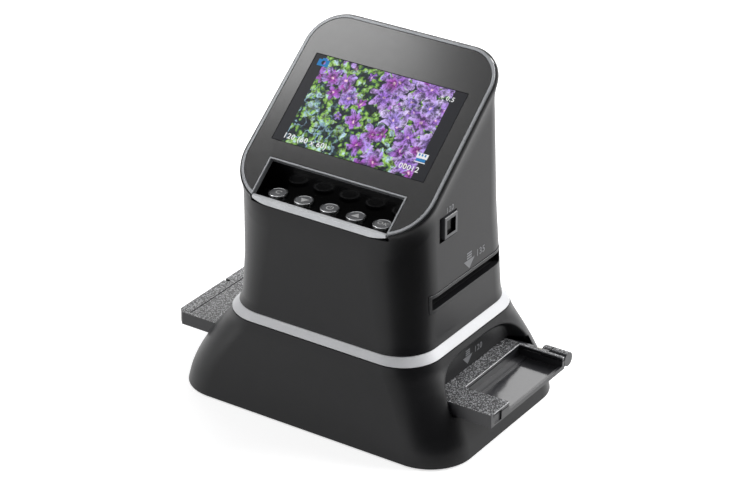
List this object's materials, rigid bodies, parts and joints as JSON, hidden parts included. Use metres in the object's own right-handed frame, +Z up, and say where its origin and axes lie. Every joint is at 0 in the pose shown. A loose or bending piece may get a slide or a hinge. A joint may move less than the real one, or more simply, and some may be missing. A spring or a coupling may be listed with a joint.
{
  "type": "film negative scanner",
  "caption": "Desktop film scanner with a flared base, tapered tower, tilted colour screen, side slot for strip film and a sliding roll film holder through the base.",
  "frame": {"origin": "on the resting surface, under the middle of the base", "axes": "+X to the right seen from the front, along the film holder; -Y towards the user, who sees the screen; +Z up"},
  "size_m": [0.203, 0.125, 0.1936],
  "materials": {
    "charcoal": "fine matt charcoal moulding",
    "black_plastic": "matt black moulding",
    "gloss_black": "polished dark sheet",
    "satin_grey": "satin dark grey",
    "textured": "coarse spark textured charcoal",
    "milky": "milky white light diffuser",
    "white_plastic": "white reflector moulding",
    "key_metal": "satin metallised keys with bright edges",
    "display_glass": "dark glossy display face",
    "board_green": "green solder resist",
    "steel": "plain steel",
    "rubber": "black rubber"
  },
  "bodies": {
    "stand": {"base_housing": "charcoal", "tower_housing": "charcoal", "bottom_plate": "black_plastic", "lcd_frame": "black_plastic", "slot_frame_left": "black_plastic", "slot_frame_right": "black_plastic", "film_tunnel": "black_plastic", "lower_shaft": "black_plastic", "upper_shaft": "black_plastic", "lens_mount": "black_plastic", "selector_guide": "black_plastic", "screen_plate": "gloss_black", "button_tray": "gloss_black", "screen_bezel": "satin_grey", "front_lip": "satin_grey", "light_ring": "milky", "diffuser": "milky", "lamp_box": "white_plastic", "lcd_module": "display_glass", "key_board": "board_green", "main_board": "board_green", "sensor_board": "board_green", "led_board": "board_green", "screw_1": "steel", "screw_2": "steel", "screw_3": "steel", "screw_4": "steel", "tower_screw_1": "steel", "tower_screw_2": "steel", "tower_screw_3": "steel", "tower_screw_4": "steel", "lens_barrel": "steel", "usb_socket": "steel", "card_socket": "steel", "foot_front_left": "rubber", "foot_front_right": "rubber", "foot_rear_left": "rubber", "foot_rear_right": "rubber"},
    "holder": {"holder_tray": "textured", "holder_lid": "textured", "hinge_pin_left": "steel", "hinge_pin_right": "steel"},
    "selector": {"selector_knob": "satin_grey", "selector_carriage": "black_plastic"},
    "menu_key": {"menu_button": "key_metal"},
    "down_key": {"down_button": "key_metal"},
    "power_key": {"power_button": "key_metal"},
    "up_key": {"up_button": "key_metal"},
    "ok_key": {"ok_button": "key_metal"}
  },
  "joints": [
    {"name": "holder_slide", "type": "slide", "parent": "stand", "child": "holder", "axis": [1, 0, 0], "range_m": [-0.06, 0.1]},
    {"name": "selector_slide", "type": "slide", "parent": "stand", "child": "selector", "axis": [0, -1, 0], "range_m": [0, 0.003]},
    {"name": "menu_press", "type": "slide", "parent": "stand", "child": "menu_key", "axis": [0, 0, -1], "range_m": [0, 0.0008], "stiffness_N_per_m": 400, "springref_m": -0.0006},
    {"name": "down_press", "type": "slide", "parent": "stand", "child": "down_key", "axis": [0, 0, -1], "range_m": [0, 0.0008], "stiffness_N_per_m": 400, "springref_m": -0.0006},
    {"name": "power_press", "type": "slide", "parent": "stand", "child": "power_key", "axis": [0, 0, -1], "range_m": [0, 0.0008], "stiffness_N_per_m": 400, "springref_m": -0.0006},
    {"name": "up_press", "type": "slide", "parent": "stand", "child": "up_key", "axis": [0, 0, -1], "range_m": [0, 0.0008], "stiffness_N_per_m": 400, "springref_m": -0.0006},
    {"name": "ok_press", "type": "slide", "parent": "stand", "child": "ok_key", "axis": [0, 0, -1], "range_m": [0, 0.0008], "stiffness_N_per_m": 400, "springref_m": -0.0006}
  ]
}
